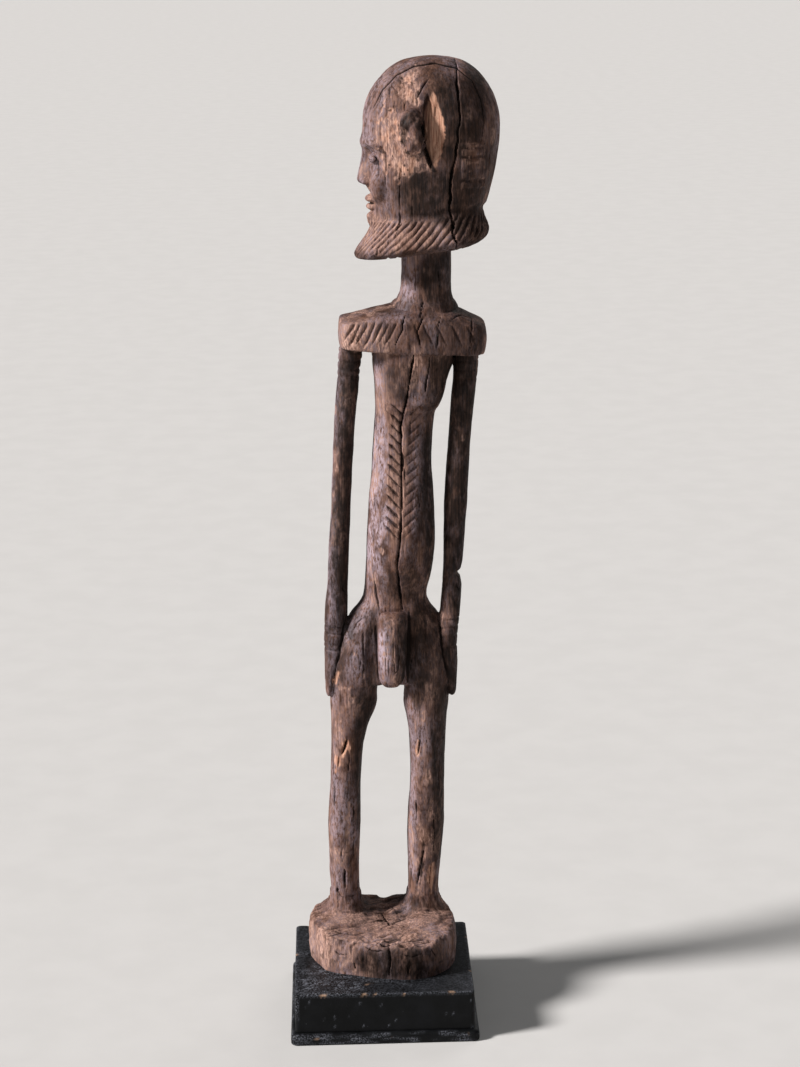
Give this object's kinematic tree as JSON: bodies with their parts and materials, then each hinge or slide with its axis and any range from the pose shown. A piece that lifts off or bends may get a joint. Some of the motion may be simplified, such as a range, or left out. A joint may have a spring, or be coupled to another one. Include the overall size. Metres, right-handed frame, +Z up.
{
  "type": "carved ancestor figure",
  "caption": "Weathered standing wooden figure with turned head, beard ruff, shoulder yoke and long free arms, on a worn foot block and a black moulded plinth",
  "frame": {"origin": "middle of the plinth underside, on the floor; the carving leans to +X, so this is not the middle of the whole box", "axes": "+Z up; the body and the plinth face -Y; +X is the viewer's right, the figure's left; the head is turned to face -X"},
  "size_m": [0.135, 0.1156, 0.591],
  "materials": {
    "carved_wood": "dry weathered hardwood, old dark patina worn to tan on the high spots",
    "plinth_paint": "black satin paint on wood, chipped along the edges",
    "screw_steel": "zinc plated",
    "screw_brass": "dull"
  },
  "bodies": {
    "root": {"head": "carved_wood", "neck": "carved_wood", "shoulder_yoke": "carved_wood", "torso": "carved_wood", "right_arm": "carved_wood", "left_arm": "carved_wood", "hips": "carved_wood", "loin_carving": "carved_wood", "right_leg": "carved_wood", "left_leg": "carved_wood", "foot_block": "carved_wood", "plinth_block": "plinth_paint", "plinth_foot_board": "plinth_paint", "figure_screws": "screw_steel", "figure_washers": "screw_steel", "foot_board_screws": "screw_brass"}
  },
  "joints": []
}
